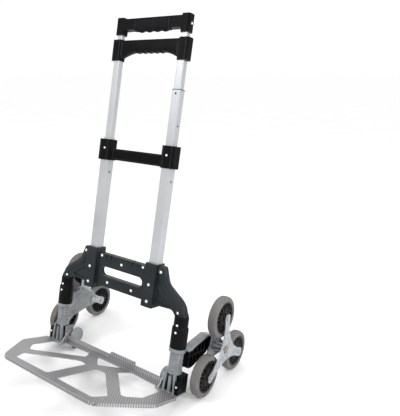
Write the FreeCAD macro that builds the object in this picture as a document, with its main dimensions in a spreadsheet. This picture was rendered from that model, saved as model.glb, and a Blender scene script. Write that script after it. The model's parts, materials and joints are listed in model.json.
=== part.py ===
import FreeCAD, Part
import math
import os
import re

from FreeCAD import Placement, Rotation, Vector

# Stair climbing trolley: a two-post hand truck with a folding toe plate, a four-stage
# telescopic handle and two swinging brackets that each carry a star of three wheels.
#
# Every piece is drawn in the trolley's own upright frame: x to the right seen from the
# front, y to the back with the tubes and posts at y = 0, z up along the tubes with z = 0
# where the toe plate meets the feet. The finished pieces are then leaned back together,
# so that the trolley stands on its four lower wheels with its feet just above the floor.
# A star is drawn about its own hub, with one arm straight up, and isn't leaned.

doc = FreeCAD.newDocument("stair_trolley")
sheet = doc.addObject("Spreadsheet::Sheet", "Sizes")

SIZES = {
    # stance
    "lean": 11.8,
    "plate_tilt": 7.5,
    # telescopic tubes, outermost stage first
    "tube_offset": 115,
    "outer_side": 30,
    "second_side": 25.4,
    "third_side": 21.2,
    "top_side": 17,
    "tube_wall": 1.4,
    "tube_corner": 2.5,
    "outer_foot": 216,
    "outer_top": 669,
    "second_length": 445,
    "second_foot_left": 236,
    "second_foot_right": 384,
    "third_foot": 461,
    "third_top": 966,
    "top_foot": 471,
    "top_top": 1024,
    "detent_radius": 3,
    # bracket across the outer tubes
    "bracket_foot": 612,
    "bracket_top": 675,
    "collar_inner": 95,
    "collar_outer": 139,
    "collar_depth": 36.6,
    "bracket_bar_foot": 614.5,
    "bracket_bar_top": 648.5,
    "bracket_bar_depth": 17,
    # handles
    "middle_foot": 910,
    "middle_top": 971,
    "middle_inner": 101,
    "middle_outer": 135,
    "middle_depth": 29,
    "high_foot": 985,
    "high_top": 1034,
    "high_inner": 101,
    "high_outer": 129,
    "high_depth": 28,
    "grip_depth": 23,
    # frame shells
    "frame_top": 336,
    "frame_foot": 225,
    "frame_deep": 11.3,
    "housing_inner": 94,
    "housing_outer": 133,
    "housing_foot": 212,
    "housing_top": 339,
    "housing_deep": 23.4,
    "web_deep": 7,
    "slot_half": 83,
    "slot_foot": 257,
    "slot_top": 287,
    "shell_wall": 2.8,
    "ridge_radius": 15,
    # posts
    "post_offset": 225,
    "post_radius": 11,
    "post_foot": 6,
    "sleeve_foot": 124.4,
    "sleeve_step": 186,
    "sleeve_top": 212,
    "sleeve_radius": 20.5,
    "sleeve_boot": 23.5,
    # swinging brackets and stars
    "running_gap": 0.05,
    "swivel_foot": 61,
    "swivel_top": 124,
    "swivel_radius": 17.5,
    "swivel_flange": 24,
    "hub_back": 141,
    "hub_up": 110,
    "star_arm": 99.4,
    "star_inner": 41,
    "star_outer": 82,
    "star_sheet": 3,
    "star_waist": 34,
    "arm_end": 14,
    "hub_bolt_radius": 6,
    "axle_radius": 4,
    "wheel_radius": 61.2,
    "wheel_width": 27,
    "wheel_plane": 59.5,
    "rim_radius": 47,
    # feet and toe plate
    "foot_half": 22.5,
    "foot_front": 24,
    "foot_back": 24,
    "block_outer": 258,
    "foot_top": 51,
    "heel_foot": -24.7,
    "plate_half": 262,
    "plate_side": 118,
    "plate_nose_half": 172,
    "plate_depth": 267,
    "plate_sheet": 2.5,
    "plate_rim": 8.5,
    "flange_back": 13,
    "flange_height": 22,
    "pivot_back": 17,
    "pivot_up": 32.5,
    "ear_inner": 192,
    "ear_outer": 197,
}
for row, (alias, size) in enumerate(SIZES.items(), start=1):
    sheet.set(f"A{row}", alias)
    sheet.set(f"B{row}", str(size))
    sheet.setAlias(f"B{row}", alias)
doc.recompute()


# ---------------------------------------------------------------- tools

def sized(text):
    """'outer_side / 2' as an expression that reads the sheet's cells."""
    return re.sub(r"\b[a-z]\w*\b(?!\()", lambda found: "Sizes." + found.group(), str(text))


def value(text):
    return float(sheet.evalExpression(sized(text)))


def bind(piece, **properties):
    for name, text in properties.items():
        piece.setExpression(name, sized(text))
    return piece


def shift(piece, x, y, z):
    for name, text in zip("xyz", (x, y, z)):
        piece.setExpression(f"Placement.Base.{name}", sized(text))
    return piece


def box(name, wide, deep, high, x, y, z):
    """A box centred on (x, y) that stands at height z."""
    piece = bind(doc.addObject("Part::Box", name), Length=wide, Width=deep, Height=high)
    return shift(piece, f"({x}) - ({wide}) / 2", f"({y}) - ({deep}) / 2", z)


TURNS = {
    "x": Rotation(Vector(0, 1, 0), 90),
    "y": Rotation(Vector(1, 0, 0), -90),
    "z": Rotation(),
}


def bar(name, radius, length, axis, x, y, z):
    """A round bar that starts at (x, y, z) and runs along the axis."""
    piece = bind(doc.addObject("Part::Cylinder", name), Radius=radius, Height=length)
    piece.Placement = Placement(Vector(), TURNS[axis])
    return shift(piece, x, y, z)


def cone(name, radius, radius_end, length, axis, x, y, z):
    piece = bind(doc.addObject("Part::Cone", name), Radius1=radius, Radius2=radius_end, Height=length)
    piece.Placement = Placement(Vector(), TURNS[axis])
    return shift(piece, x, y, z)


def fuse(name, pieces):
    piece = doc.addObject("Part::MultiFuse", name)
    piece.Shapes = pieces
    piece.Refine = True
    return piece


def cut(name, base, tools):
    piece = doc.addObject("Part::Cut", name)
    piece.Base = base
    piece.Tool = tools[0] if len(tools) == 1 else fuse(name + "_tools", tools)
    piece.Refine = True
    return piece


def group(name, pieces):
    piece = doc.addObject("Part::Compound", name)
    piece.Links = pieces
    return piece


def mirrored(name, source, normal=Vector(1, 0, 0)):
    piece = doc.addObject("Part::Mirroring", name)
    piece.Source = source
    piece.Base = Vector()
    piece.Normal = normal
    return piece


def rounded(name, source, radius, chosen):
    """A fillet along the edges that the test picks."""
    doc.recompute()
    size = value(radius)
    piece = doc.addObject("Part::Fillet", name)
    piece.Base = source
    edges = enumerate(source.Shape.Edges, start=1)
    piece.Edges = [(number, size, size) for number, edge in edges if chosen(edge)]
    return piece


def upright(edge):
    start, end = edge.Vertexes[0].Point, edge.Vertexes[-1].Point
    return abs(end.z - start.z) > 0.99 * edge.Length and edge.Length > 1


def outline(corners):
    """Lines and tangent arcs through (x, y, corner radius) points, as a closed loop."""
    points = [Vector(value(x), value(y), 0) for x, y, _ in corners]
    radii = [value(radius) for _, _, radius in corners]
    ends, crowns = [], []
    for index, (point, radius) in enumerate(zip(points, radii)):
        if radius == 0:
            ends.append((point, point))
            crowns.append(point)
            continue
        back = (points[index - 1] - point).normalize()
        ahead = (points[(index + 1) % len(points)] - point).normalize()
        half_turn = back.getAngle(ahead) / 2
        reach = radius / math.tan(half_turn)
        ends.append((point + back * reach, point + ahead * reach))
        middle = (back + ahead).normalize()
        crowns.append(point + middle * (radius / math.sin(half_turn) - radius))
    edges = []
    for index, (start, end) in enumerate(ends):
        if radii[index] > 0:
            edges.append(Part.Arc(start, crowns[index], end))
        following = ends[(index + 1) % len(ends)][0]
        if (following - end).Length > 1e-6:
            edges.append(Part.LineSegment(end, following))
    return edges


def prism(name, plane, loops, start, length):
    """A body with its closed loops drawn on one of its origin planes, padded along the plane's normal."""
    body = doc.addObject("PartDesign::Body", name)
    origin = next(item for item in body.Origin.OriginFeatures if item.Role == plane + "_Plane")
    sketch = body.newObject("Sketcher::SketchObject", name + "_sketch")
    sketch.AttachmentSupport = (origin, [""])
    sketch.MapMode = "FlatFace"
    sketch.setExpression("AttachmentOffset.Base.z", sized(start))
    for loop in loops:
        sketch.addGeometry(loop)
    pad = body.newObject("PartDesign::Pad", name + "_pad")
    pad.Profile = sketch
    bind(pad, Length=length)
    sketch.Visibility = False
    return body


def pipe(name, points, bend, radius):
    """A round rod along straight runs joined by tangent arcs, in the plane y = 0."""
    spots = [Vector(value(x), 0, value(z)) for x, z in points]
    edges, here = [], spots[0]
    for before, corner, after in zip(spots, spots[1:], spots[2:]):
        back, ahead = (before - corner).normalize(), (after - corner).normalize()
        half_turn = back.getAngle(ahead) / 2
        reach = bend / math.tan(half_turn)
        crown = corner + (back + ahead).normalize() * (bend / math.sin(half_turn) - bend)
        edges.append(Part.LineSegment(here, corner + back * reach).toShape())
        edges.append(Part.Arc(corner + back * reach, crown, corner + ahead * reach).toShape())
        here = corner + ahead * reach
    edges.append(Part.LineSegment(here, spots[-1]).toShape())
    spine = Part.Wire(edges)
    circle = Part.Circle(spots[0], spots[1] - spots[0], value(radius)).toShape()
    circle.rotate(spots[0], spots[1] - spots[0], 40)
    ring = Part.Wire(circle)
    piece = doc.addObject("Part::Feature", name)
    piece.Shape = spine.makePipeShell([ring], True, True)
    return piece


STAND_HEIGHT = "star_arm / 2 + wheel_radius + hub_back * sin(lean) - hub_up * cos(lean)"
HUB_BACK = "hub_back * cos(lean) + hub_up * sin(lean)"
REAR_REACH = f"{HUB_BACK} + star_arm * cos(30) + wheel_radius"
NOSE_REACH = "16 * cos(lean) + plate_depth * cos(lean + plate_tilt) + plate_rim * sin(lean + plate_tilt)"
# the origin is on the floor, midway between the plate's nose and the rear wheels
ORIGIN_BACK = value(f"({REAR_REACH} - ({NOSE_REACH})) / 2")
STAND = Placement(
    Vector(0, -ORIGIN_BACK, value(STAND_HEIGHT)), Rotation(Vector(1, 0, 0), -value("lean")))
PLATE = STAND * Placement(Vector(0, -16, 0), Rotation(Vector(1, 0, 0), -value("plate_tilt")))
finished = []


def finish(label, piece, placement=STAND):
    piece.Label = label
    piece.Placement = placement
    finished.append(piece)
    return piece


def pair(name, piece, placement=STAND):
    """The right-hand piece and its mirror image on the left."""
    left = mirrored(name + "_mirror", piece)
    finish(name + "_right", piece, placement)
    finish(name + "_left", left, Placement())
    return piece


# ---------------------------------------------------------------- telescopic tubes

def square_tube(label, side, foot, length, offset, holes):
    """A square tube whose detent holes are (face, height) pairs; face is 'side' or 'front'."""
    name = label
    outside = box(name + "_outside", side, side, length, offset, "0", foot)
    shell = rounded(name + "_shell", outside, "tube_corner", upright)
    inner = f"({side}) - 2 * tube_wall"
    tools = [box(name + "_bore", inner, inner, f"({length}) + 2", offset, "0", f"({foot}) - 1")]
    for number, (face, height) in enumerate(holes):
        hole = f"{name}_hole_{number}"
        if face == "side":
            tools.append(bar(hole, "detent_radius", side, "x", offset, "0", height))
        else:
            tools.append(bar(hole, "detent_radius", side, "y", offset, f"-({side})", height))
    return finish(label, cut(name, shell, tools))


for sign, side_name, second_foot in (("-", "left", "second_foot_left"), ("", "right", "second_foot_right")):
    offset = f"{sign}tube_offset"
    second_end = f"{second_foot} + second_length"
    square_tube(
        "outer_tube_" + side_name, "outer_side", "outer_foot", "outer_top - outer_foot",
        offset, [("side", "bracket_foot - 36")],
    )
    square_tube(
        "second_tube_" + side_name, "second_side", second_foot, "second_length", offset,
        [("front", f"{second_end} - 10"), ("side", f"{second_end} - 98")],
    )
    square_tube(
        "third_tube_" + side_name, "third_side", "third_foot", "third_top - third_foot",
        offset, [("side", "third_foot + 60")],
    )
    square_tube(
        "top_tube_" + side_name, "top_side", "top_foot", "top_top - top_foot",
        offset, [("side", "top_foot + 60")],
    )

plug = box("plug", "outer_side - 2 * tube_wall - 0.4", "outer_side - 2 * tube_wall - 0.4",
           "14", "tube_offset", "0", "outer_foot")
plug_mirror = mirrored("plug_mirror", plug)
finish("tube_plugs", group("tube_plugs", [plug, plug_mirror]))


# ---------------------------------------------------------------- bracket across the outer tubes

def collar(name, inner, outer, depth, foot, top, corner):
    """The right-hand collar of a handle or bracket."""
    block = box(name + "_block", f"{outer} - {inner}", depth, f"{top} - {foot}",
                f"({inner} + {outer}) / 2", "0", foot)
    return rounded(name, block, corner, upright)


def flutes(name, inner, outer, depth, foot, top):
    """Shallow upright grooves down the front and back of both collars."""
    grooves = []
    for number, share in enumerate((0.2, 0.8)):
        for face in ("-", ""):
            right = box(f"{name}_{number}_{'back' if face else 'front'}", "2.2", "1.6", f"{top} - {foot} + 2",
                        f"{inner} + ({outer} - {inner}) * {share}", f"{face}({depth}) / 2", f"{foot} - 1")
            grooves += [right, mirrored(right.Name + "_mirror", right)]
    return grooves


def tube_channel(name, side, gap, foot, length):
    """A square way through for a tube on each side."""
    right = box(name, f"{side} + 2 * {gap}", f"{side} + 2 * {gap}", length, "tube_offset", "0", foot)
    return [right, mirrored(name + "_mirror", right)]


def build_tube_bracket():
    right = collar("bracket_collar", "collar_inner", "collar_outer", "collar_depth",
                   "bracket_foot", "bracket_top", "6")
    beam = box("bracket_beam", "2 * collar_inner + 8", "bracket_bar_depth",
               "bracket_bar_top - bracket_bar_foot", "0", "0", "bracket_bar_foot")
    solid = fuse("bracket_solid", [right, mirrored("bracket_collar_mirror", right), beam])
    below = tube_channel("bracket_pocket", "outer_side", "0.1", "bracket_foot - 1",
                         "outer_top - bracket_foot + 1.2")
    above = tube_channel("bracket_mouth", "second_side", "0.5", "bracket_foot", "80")
    recess = box("bracket_recess", "2 * collar_inner - 12", "4", "bracket_bar_top - bracket_bar_foot - 8",
                 "0", "-bracket_bar_depth / 2", "bracket_bar_foot + 4")
    grooves = flutes("bracket_flute", "collar_inner", "collar_outer", "collar_depth",
                     "bracket_foot", "bracket_top")
    hollow = cut("bracket_hollow", solid, below + above + [recess])
    finish("tube_bracket", cut("tube_bracket", hollow, grooves))


def rivet(name, radius, seat, grip, face, x, z):
    """A domed rivet; face is -1 for a head towards the front (seat at y = -seat) or 1 for the back."""
    start = f"{face} * ({seat})"
    turned = Rotation(Vector(1, 0, 0), 90 if face < 0 else -90)
    head = bind(doc.addObject("Part::Cone", name + "_head"), Radius1=radius,
                Radius2=f"{radius} * 0.55", Height="1.8")
    shank = bind(doc.addObject("Part::Cylinder", name + "_shank"), Radius=f"{radius} * 0.5", Height=grip)
    head.Placement = Placement(Vector(), turned)
    shank.Placement = Placement(Vector(), turned)
    shift(head, x, start, z)
    shift(shank, x, f"{face} * ({seat} - {grip})", z)
    return fuse(name, [head, shank])


def rivets(label, places, radius):
    """A group of rivets; places are (x, z, seat, grip, faces)."""
    heads = []
    for number, (x, z, seat, grip, faces) in enumerate(places):
        for face in faces:
            name = f"{label}_{number}_{'front' if face < 0 else 'back'}"
            heads.append(rivet(name, radius, seat, grip, face, x, z))
    return group(label, heads)


build_tube_bracket()
BRACKET_SCREW = ("bracket_foot + 36", "collar_depth / 2", "3")
finish("bracket_screws", rivets(
    "bracket_screws", [(f"{sign}tube_offset", *BRACKET_SCREW, (-1, 1)) for sign in ("-", "")], "3.6",
))


# ---------------------------------------------------------------- handles

def build_middle_handle():
    right = collar("middle_collar", "middle_inner", "middle_outer", "middle_depth",
                   "middle_foot", "middle_top", "7")
    reach = "middle_inner + 4"
    arch = outline([
        (f"-({reach})", "middle_top - 3", "0"), (reach, "middle_top - 3", "0"),
        (reach, "middle_foot + 8", "0"), ("84", "middle_foot + 22", "12"),
        ("50", "middle_top - 34", "20"), ("-50", "middle_top - 34", "20"),
        ("-84", "middle_foot + 22", "12"), (f"-({reach})", "middle_foot + 8", "0"),
    ])
    bridge = prism("middle_bridge", "XZ", [arch], "-grip_depth / 2", "grip_depth")
    solid = fuse("middle_solid", [right, mirrored("middle_collar_mirror", right), bridge])
    below = tube_channel("middle_pocket", "third_side", "0.1", "middle_foot - 1",
                         "third_top - middle_foot + 1.2")
    above = tube_channel("middle_mouth", "top_side", "0.5", "middle_foot", "80")
    grooves = flutes("middle_flute", "middle_inner", "middle_outer", "middle_depth",
                     "middle_foot", "middle_top")
    finish("middle_handle", cut("middle_handle", cut("middle_hollow", solid, below + above), grooves))


def build_top_handle():
    right = collar("high_collar", "high_inner", "high_outer", "high_depth",
                   "high_foot", "high_top", "7")
    reach = "high_inner + 4"
    profile = outline([
        (f"-({reach})", "high_top - 4", "0"), ("-88", "high_top - 4", "0"), ("88", "high_top - 4", "0"),
        (reach, "high_top - 4", "0"), (reach, "high_foot + 12", "0"), ("88", "high_top - 36", "8"),
        ("-88", "high_top - 36", "8"), (f"-({reach})", "high_foot + 12", "0"),
    ])
    bridge = prism("high_bridge", "XZ", [profile], "-grip_depth / 2", "grip_depth")
    solid = fuse("high_solid", [right, mirrored("high_collar_mirror", right), bridge])
    below = tube_channel("high_pocket", "top_side", "0.1", "high_foot - 1", "top_top - high_foot + 1.2")
    seat = box("grip_seat", "120", "grip_depth + 2", "30", "0", "0", "high_top - 40")
    core = box("grip_core", "122", "grip_depth - 7", "28", "0", "0", "high_top - 33.5")
    finish("top_handle", cut("top_handle", solid, below + [cut("grip_room", seat, [core])]))
    sleeve = box("grip_sleeve", "119.4", "grip_depth", "27.5", "0", "0", "high_top - 38")
    hollow = box("grip_hollow", "124", "grip_depth - 6.4", "28.6", "0", "0", "high_top - 33.8")
    finish("top_grip", cut("top_grip", sleeve, [hollow]))


def side_screw(name, x, z, direction):
    """A pan-head screw in the outer side of the top handle."""
    sign = "" if direction > 0 else "-"
    start = f"{sign}({x} - 2)" if direction > 0 else f"-({x}) - 1.6"
    return bar(name, "3.2", "3.6", "x", start, "0", z)


build_middle_handle()
build_top_handle()
finish("middle_screws", rivets(
    "middle_screws", [(f"{sign}tube_offset", "middle_foot + 30", "middle_depth / 2", "3", (1,))
                      for sign in ("-", "")], "3.2",
))
finish("top_screws", group("top_screws", [
    side_screw("top_screw_right", "high_outer", "high_foot + 24", 1),
    side_screw("top_screw_left", "high_outer", "high_foot + 24", -1),
]))


# ---------------------------------------------------------------- lower frame

SIDE_PATH = [
    ("138", "frame_top - 12"), ("157", "frame_top - 54"),
    ("post_offset", "frame_top - 99"), ("post_offset", "sleeve_top + 0.4"),
]
SIDE_BEND = 34


def half_shell():
    """The front half of the two-part plastic frame, flat at y = 0."""
    right_outline = [
        ("housing_outer", "frame_top", "0"), ("151", "frame_top", "8"), ("167", "frame_top - 46", "40"),
        ("221", "frame_top - 83", "26"), ("240", "frame_top - 118", "10"),
        ("240", "sleeve_top + 0.4", "0"), ("208", "sleeve_top + 0.4", "0"),
        ("196", "frame_foot + 1", "16"), ("housing_outer", "frame_foot - 3", "0"),
    ]
    across = [
        ("-housing_outer", "frame_foot - 3", "0"), ("-196", "frame_foot + 1", "16"),
        ("-208", "sleeve_top + 0.4", "0"), ("-240", "sleeve_top + 0.4", "0"),
        ("-240", "frame_top - 118", "10"), ("-221", "frame_top - 83", "26"),
        ("-167", "frame_top - 46", "40"), ("-151", "frame_top", "8"), ("-housing_outer", "frame_top", "0"),
        ("-housing_inner", "frame_top - 10", "0"), ("housing_inner", "frame_top - 10", "0"),
    ]
    lower = [("housing_inner", "frame_foot", "0"), ("-housing_inner", "frame_foot", "0")]
    loop = outline(right_outline + lower + across)
    slot_round = "(slot_top - slot_foot) / 2"
    slot = outline([
        (f"{x}slot_half", z, slot_round + " - 0.01")
        for x, z in (("-", "slot_foot"), ("", "slot_foot"), ("", "slot_top"), ("-", "slot_top"))
    ])
    panel = prism("shell_panel", "XZ", [loop, slot], "0", "frame_deep")
    housing = box("housing", "housing_outer - housing_inner", "housing_deep",
                  "housing_top - housing_foot", "(housing_inner + housing_outer) / 2",
                  "-housing_deep / 2", "housing_foot")
    housing_round = rounded(
        "housing_round", housing, "4", lambda edge: upright(edge) and edge.BoundBox.YMax < -20)
    ridge = pipe("shell_ridge", SIDE_PATH, SIDE_BEND, "ridge_radius")
    cap = doc.addObject("Part::Sphere", "ridge_cap")
    bind(cap, Radius="ridge_radius")
    shift(cap, SIDE_PATH[0][0], "0", SIDE_PATH[0][1] + " - 1")
    web = outline([
        ("housing_outer + 3.5", "frame_top - 56", "3"), ("144", "frame_top - 68", "4"),
        ("194", "frame_top - 102", "3"), ("184", "frame_top - 107", "4"),
        ("housing_outer + 3.5", "frame_top - 107", "3"),
    ])
    sunk = prism("sunk_web", "XZ", [web], "web_deep", "10")
    panel = cut("sunk_panel", panel, [sunk, mirrored("sunk_web_left", sunk)])
    sides = [housing_round, ridge, cap]
    sides += [mirrored(piece.Name + "_left", piece) for piece in (housing_round, ridge, cap)]
    return fuse("shell_solid", [panel] + sides)


def cut_in_turn(name, base, groups):
    """Takes several groups of tools away one after the other."""
    for number, tools in enumerate(groups[:-1]):
        base = cut(f"{name}_stage_{number}", base, tools)
    return cut(name, base, groups[-1])


def shell_rooms():
    """What the half shell leaves free: everything behind y = 0, the tubes, notches and hollows."""
    behind = box("behind", "600", "60", "400", "0", "30", "100")
    channel = box("tube_room", "outer_side + 0.3", "outer_side + 0.3", "400",
                  "tube_offset", "0", "outer_foot - 0.2")
    side = pipe("side_room", [("137.2", "frame_top - 10.5")] + SIDE_PATH[1:3]
                + [("post_offset", "sleeve_top - 20")], SIDE_BEND, "post_radius + 0.15")
    details = []
    for name, foot, high in (("upper_hollow", "slot_top + 5", "26"), ("lower_hollow", "frame_foot + 4", "24")):
        details.append(
            box(name, "2 * housing_inner - 8", "2 * (frame_deep - shell_wall)", high, "0", "0", foot))
    for number, (x, turn) in enumerate((("-60", 12), ("-42", -12), ("42", 12), ("60", -12))):
        notch = box(f"notch_{number}", "3.6", "40", "24", "0", "0", "-12")
        holder = group(f"notch_turned_{number}", [notch])
        holder.Placement = Placement(
            Vector(value(x), 0, value("frame_top - 12")), Rotation(Vector(0, 1, 0), turn))
        details.append(holder)
    return [
        [behind], [channel], [mirrored("tube_room_left", channel)],
        [side], [mirrored("side_room_left", side)], details,
    ]


THROUGH = [
    ("-80", "frame_top - 17.4"), ("80", "frame_top - 17.4"), ("0", "frame_top - 29.6"),
    ("-47", "frame_top - 96"), ("47", "frame_top - 96"),
]
BLIND = [
    ("145", "frame_top - 15", "14.2", "2.6"), ("tube_offset", "frame_top - 58", "housing_deep", "7"),
    ("218", "frame_top - 113", "13.2", "2"), ("tube_offset", "frame_top - 107", "housing_deep", "7"),
]


def build_frame():
    front = half_shell()
    drills = []
    for number, (x, z) in enumerate(THROUGH):
        drills.append(bar(f"drill_{number}", "2.1", "60", "y", x, "-30", z))
    for number, (x, z, seat, grip) in enumerate(BLIND):
        depth = f"{grip} + 0.2"
        for side, sign in (("right", ""), ("left", "-")):
            drills.append(bar(f"blind_{number}_{side}", "2.1", f"{depth} + 30", "y",
                              sign + x, f"-({seat}) - 30", z))
    shell = cut_in_turn("front_shell", front, shell_rooms() + [drills])
    rear = mirrored("rear_shell", shell, Vector(0, 1, 0))
    finish("frame_front_shell", shell)
    finish("frame_rear_shell", rear, Placement())
    doc.recompute()


def build_rear_shell_place():
    """The rear shell mirrors the front one in the trolley's own frame, before the lean."""
    rear = next(piece for piece in finished if piece.Label == "frame_rear_shell")
    base = next(piece for piece in finished if piece.Label == "frame_front_shell")
    normal = base.Placement.Rotation.multVec(Vector(0, 1, 0))
    rear.Normal = normal
    rear.Base = base.Placement.Base


def frame_rivets():
    places = [(x, z, "frame_deep", "5", (-1, 1)) for x, z in THROUGH]
    for x, z, seat, grip in BLIND:
        places += [(sign + x, z, seat, grip, (-1, 1)) for sign in ("-", "")]
    return rivets("frame_rivets", places, "4.5")


def build_side_tube():
    path = SIDE_PATH[:3] + [("post_offset", "post_foot")]
    solid = pipe("side_solid", path, SIDE_BEND, "post_radius")
    start = ("138 - 19 / 46 * 2", "frame_top - 12 + 2")
    bore = pipe("side_bore", [start] + SIDE_PATH[1:3] + [("post_offset", "post_foot - 2")],
                SIDE_BEND, "post_radius - 1.5")
    beside = box("side_tube_beside", "outer_side + 0.4", "outer_side + 0.4", "400",
                 "tube_offset", "0", "outer_foot - 1")
    pair("side_tube", cut("side_tube", solid, [bore, beside]))


def build_post_sleeve():
    upper = bar("sleeve_upper", "sleeve_radius", "sleeve_top - sleeve_step", "z",
                "post_offset", "0", "sleeve_step")
    taper = cone("sleeve_taper", "sleeve_boot", "sleeve_radius", "5", "z",
                 "post_offset", "0", "sleeve_step - 5")
    boot = bar("sleeve_boot_body", "sleeve_boot", "sleeve_step - 5 - sleeve_foot", "z",
               "post_offset", "0", "sleeve_foot")
    bore = bar("sleeve_bore", "post_radius + 0.15", "100", "z", "post_offset", "0", "sleeve_foot - 1")
    drills = []
    for number, (z, seat) in enumerate(SLEEVE_RIVETS):
        drills.append(bar(f"sleeve_drill_{number}_front", "1.9", "30", "y", "post_offset",
                          f"-({seat}) + 4.1 - 30", z))
        drills.append(bar(f"sleeve_drill_{number}_back", "1.9", "30", "y", "post_offset",
                          f"({seat}) - 4.1", z))
    solid = fuse("sleeve_solid", [upper, taper, boot])
    pair("post_sleeve", cut("post_sleeve", solid, [bore] + drills))


SLEEVE_RIVETS = [("sleeve_step + 5", "sleeve_radius"), ("sleeve_step - 15", "sleeve_boot")]

build_frame()
build_rear_shell_place()
finish("frame_rivets", frame_rivets())
build_side_tube()
build_post_sleeve()
finish("sleeve_rivets", rivets(
    "sleeve_rivets",
    [(sign + "post_offset", z, seat, "4", (-1, 1)) for z, seat in SLEEVE_RIVETS for sign in ("-", "")],
    "3.6",
))


# ---------------------------------------------------------------- swinging bracket

def hub_at(extra="0"):
    return ("hub_back", f"hub_up + {extra}")


def build_swivel_bracket():
    """Cast collar that turns on the post, with an arm back to the star's hub."""
    post = "post_offset"
    body = bar("swivel_body", "swivel_radius", "swivel_top - swivel_foot", "z", post, "0", "swivel_foot")
    flange = bar("swivel_top_flange", "swivel_flange", "10", "z", post, "0", "swivel_top - 10")
    lower = bar("swivel_low_flange", "swivel_radius + 2", "5", "z", post, "0", "swivel_foot")
    ribs = []
    for number, angle in enumerate(range(200, 341, 20)):
        rib = box(f"swivel_rib_{number}", "2.4", "2.4", "38", "0", "0", "swivel_foot + 8")
        turn = math.radians(angle)
        radius = value("swivel_radius")
        holder = doc.addObject("Part::Compound", f"swivel_rib_turned_{number}")
        holder.Links = [rib]
        holder.Placement = Placement(
            Vector(value(post) + radius * math.cos(turn), radius * math.sin(turn), 0), Rotation())
        ribs.append(holder)
    arm = [
        ("6", "swivel_foot + 2", "0"), ("40", "swivel_foot", "8"), ("hub_back - 20", "hub_up - 24", "12"),
        ("hub_back + 14", "hub_up - 20", "12"), ("hub_back + 20", "hub_up + 8", "10"),
        ("hub_back + 2", "hub_up + 30", "12"), ("hub_back - 30", "hub_up + 36", "10"),
        ("40", "swivel_top + 6", "12"), ("27", "swivel_top", "4"), ("6", "swivel_top", "0"),
    ]
    web = prism("arm_web", "YZ", [outline(arm)], "post_offset + 6", "4")
    top = [
        ("8", "swivel_top - 5", "0"), ("29", "swivel_top - 5", "4"), ("41", "swivel_top + 1", "12"),
        ("hub_back - 30", "hub_up + 31", "10"),
        ("hub_back + 2", "hub_up + 25", "8"), ("hub_back + 6", "hub_up + 28", "0"),
        ("hub_back + 2", "hub_up + 30", "2"), ("hub_back - 30", "hub_up + 36", "10"),
        ("40", "swivel_top + 6", "12"), ("27", "swivel_top", "4"), ("8", "swivel_top", "0"),
    ]
    shelf = prism("arm_shelf", "YZ", [outline(top)], "post_offset + 6", "26")
    boss = bar("hub_boss", "12", "32", "x", "post_offset + 6", *hub_at())
    bore = bar("swivel_bore", "post_radius + running_gap", "100", "z", post, "0", "swivel_foot - 10")
    hole = bar("hub_hole", "hub_bolt_radius + 0.02", "60", "x", "post_offset - 10", *hub_at())
    core = fuse("swivel_core", [fuse("swivel_drum", [body, flange, lower]), fuse("swivel_arm", [web, shelf, boss])])
    bored = cut("swivel_bored", core, [bore, hole])
    pair("swivel_bracket", fuse("swivel_bracket", [bored] + ribs))


def build_bracket_web():
    """Black ribbed filling of the arm's open side."""
    sheet_loop = [
        ("20", "swivel_foot + 5", "4"), ("42", "swivel_foot + 4", "8"), ("hub_back - 21", "hub_up - 19", "10"),
        ("hub_back - 17", "hub_up", "0"), ("hub_back - 17", "hub_up + 20", "0"),
        ("hub_back - 31", "hub_up + 29", "6"), ("38", "swivel_top - 3", "8"), ("20", "swivel_top - 12", "4"),
    ]
    backing = prism("web_sheet", "YZ", [outline(sheet_loop)], "post_offset + 10.2", "4")
    border = prism("web_border", "YZ", [outline(sheet_loop)], "post_offset + 10.2", "19")
    inner_loop = [
        ("23.5", "swivel_foot + 8.5", "2"), ("42", "swivel_foot + 7.5", "6"),
        ("hub_back - 25", "hub_up - 17", "6"), ("hub_back - 20.5", "hub_up", "0"),
        ("hub_back - 20.5", "hub_up + 17", "0"), ("hub_back - 33", "hub_up + 25.5", "4"),
        ("39", "swivel_top - 6.5", "6"), ("23.5", "swivel_top - 14", "2"),
    ]
    room = prism("web_room", "YZ", [outline(inner_loop)], "post_offset + 14", "30")
    frame = cut("web_frame", border, [room])
    ribs = []
    for number, back in enumerate((42, 62, 82, 102)):
        ribs.append(box(f"web_rib_{number}", "17", "2.4", "90", "post_offset + 20.5", str(back), "60"))
    ribs.append(box("web_long_rib", "17", "110", "2.4", "post_offset + 20.5", "72", "99"))
    grid = doc.addObject("Part::MultiCommon", "web_grid")
    grid.Shapes = [fuse("web_ribs", ribs), prism("web_limit", "YZ", [outline(sheet_loop)],
                                                "post_offset + 10.2", "19")]
    boss = bar("boss_room", "12.2", "60", "x", "post_offset", *hub_at())
    post = bar("post_room", "swivel_flange + 0.3", "100", "z", "post_offset", "0", "swivel_foot - 10")
    hub = bar("web_hub", "22", "26", "x", "post_offset + 10.2", *hub_at())
    solid = fuse("web_solid", [backing, frame, grid, hub])
    pair("bracket_web", cut("bracket_web", solid, [boss, post]))


def build_hub_bolt():
    """Bolt that the star turns on, fixed in the arm's boss, with its washer and nuts."""
    far = "star_outer + 0.4"
    shank = bar("bolt_shank", "hub_bolt_radius", f"{far} + 1", "x", "post_offset + 1", *hub_at())
    washer = bar("bolt_washer", "13", "2", "x", f"post_offset + {far}", *hub_at())
    head = bar("bolt_head", "8.5", "5.5", "x", f"post_offset + {far} + 1", *hub_at())
    nut = doc.addObject("Part::Prism", "bolt_nut")
    nut.Polygon = 6
    bind(nut, Circumradius="10", Height="5")
    nut.Placement = Placement(Vector(), TURNS["x"])
    shift(nut, "post_offset + 0.9", *hub_at())
    pair("hub_bolt", fuse("hub_bolt", [shank, washer, head, nut]))


build_swivel_bracket()
build_bracket_web()
build_hub_bolt()


# ---------------------------------------------------------------- wheel stars

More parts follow.
